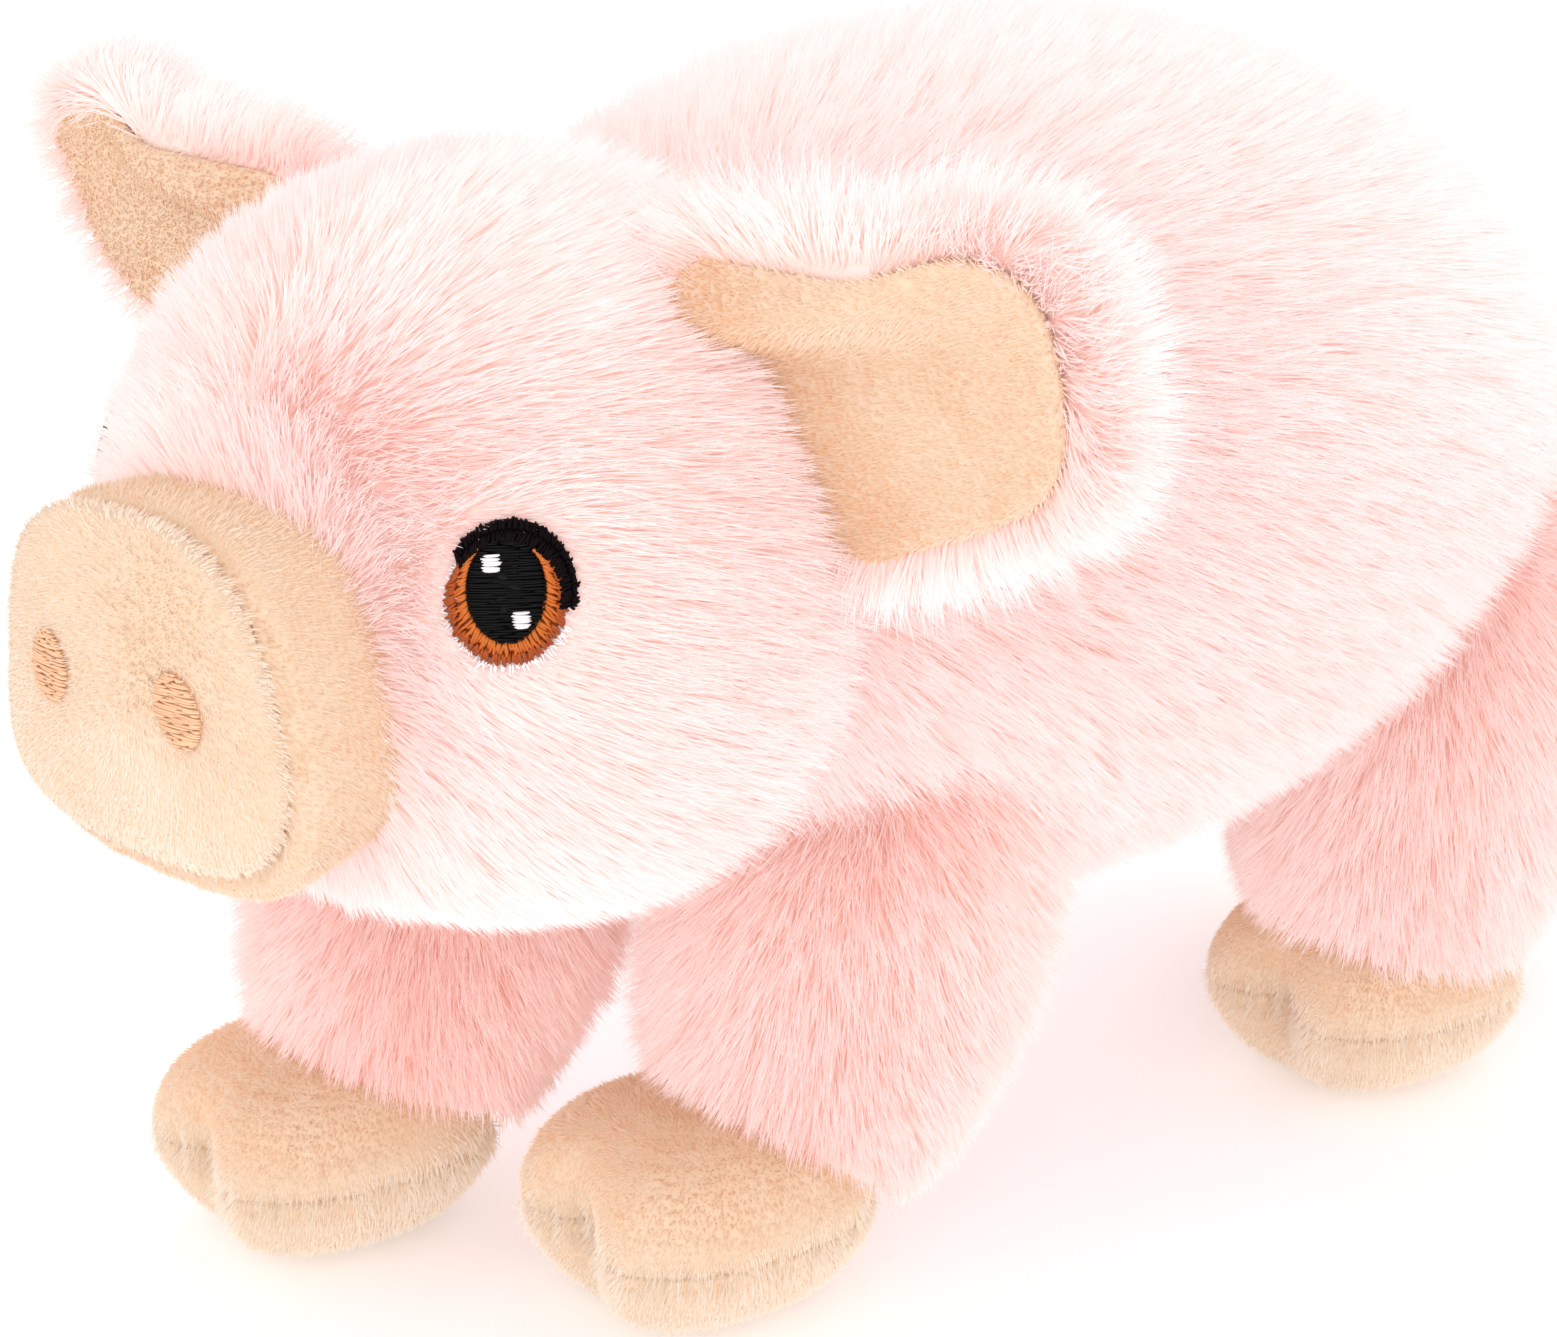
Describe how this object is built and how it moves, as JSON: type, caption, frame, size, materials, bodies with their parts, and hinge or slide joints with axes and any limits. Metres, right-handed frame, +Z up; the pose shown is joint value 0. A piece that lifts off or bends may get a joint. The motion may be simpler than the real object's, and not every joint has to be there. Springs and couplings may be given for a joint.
{
  "type": "plush pig",
  "caption": "Standing plush pig with long soft fur, a minky snout, cloven hooves and folded ears that flap at their sewn roots.",
  "frame": {"origin": "on the plane that the hooves stand on, under the middle of the whole pig's box", "axes": "-Y is the way the body walks (the head is turned 13.5 degrees towards +X), +X is the pig's left, +Z is up"},
  "size_m": [0.176, 0.2716, 0.1625],
  "materials": {
    "pink_fur": "long soft pile, matt, lighter at the tips",
    "tan_minky": "short dense brushed pile, matt",
    "filling": "loose white polyester fibre",
    "rust_thread": "satin stitch",
    "orange_thread": "satin stitch",
    "black_thread": "satin stitch",
    "brown_thread": "satin stitch",
    "white_thread": "satin stitch"
  },
  "bodies": {
    "pig": {"body_cover": "pink_fur", "body_filling": "filling", "eye_glint_lower_left": "white_thread", "eye_glint_lower_right": "white_thread", "eye_glint_upper_left": "white_thread", "eye_glint_upper_right": "white_thread", "eye_iris_left": "orange_thread", "eye_iris_right": "orange_thread", "eye_lid_left": "brown_thread", "eye_lid_right": "brown_thread", "eye_pupil_left": "black_thread", "eye_pupil_right": "black_thread", "eye_white_left": "white_thread", "eye_white_right": "white_thread", "front_left_hoof": "tan_minky", "front_left_leg_cover": "pink_fur", "front_left_leg_filling": "filling", "front_left_sole": "tan_minky", "front_right_hoof": "tan_minky", "front_right_leg_cover": "pink_fur", "front_right_leg_filling": "filling", "front_right_sole": "tan_minky", "head_cover": "pink_fur", "head_filling": "filling", "nostril_left": "rust_thread", "nostril_right": "rust_thread", "rear_left_hoof": "tan_minky", "rear_left_leg_cover": "pink_fur", "rear_left_leg_filling": "filling", "rear_left_sole": "tan_minky", "rear_right_hoof": "tan_minky", "rear_right_leg_cover": "pink_fur", "rear_right_leg_filling": "filling", "rear_right_sole": "tan_minky", "snout_band": "tan_minky", "snout_face": "tan_minky", "snout_filling": "filling", "tail": "tan_minky"},
    "left_ear": {"ear_back_left": "pink_fur", "ear_lining_left": "tan_minky"},
    "right_ear": {"ear_back_right": "pink_fur", "ear_lining_right": "tan_minky"}
  },
  "joints": [
    {"name": "left_ear_flap", "type": "hinge", "parent": "pig", "child": "left_ear", "pos_m": [0.04128, -0.05604, 0.13032], "axis": [0.2174, 0.3518, -0.9105], "range_deg": [-20, 25], "stiffness_Nm_per_rad": 0.02},
    {"name": "right_ear_flap", "type": "hinge", "parent": "pig", "child": "right_ear", "pos_m": [-0.0425, -0.07615, 0.13032], "axis": [0.3534, -0.2147, 0.9105], "range_deg": [-20, 25], "stiffness_Nm_per_rad": 0.02}
  ]
}
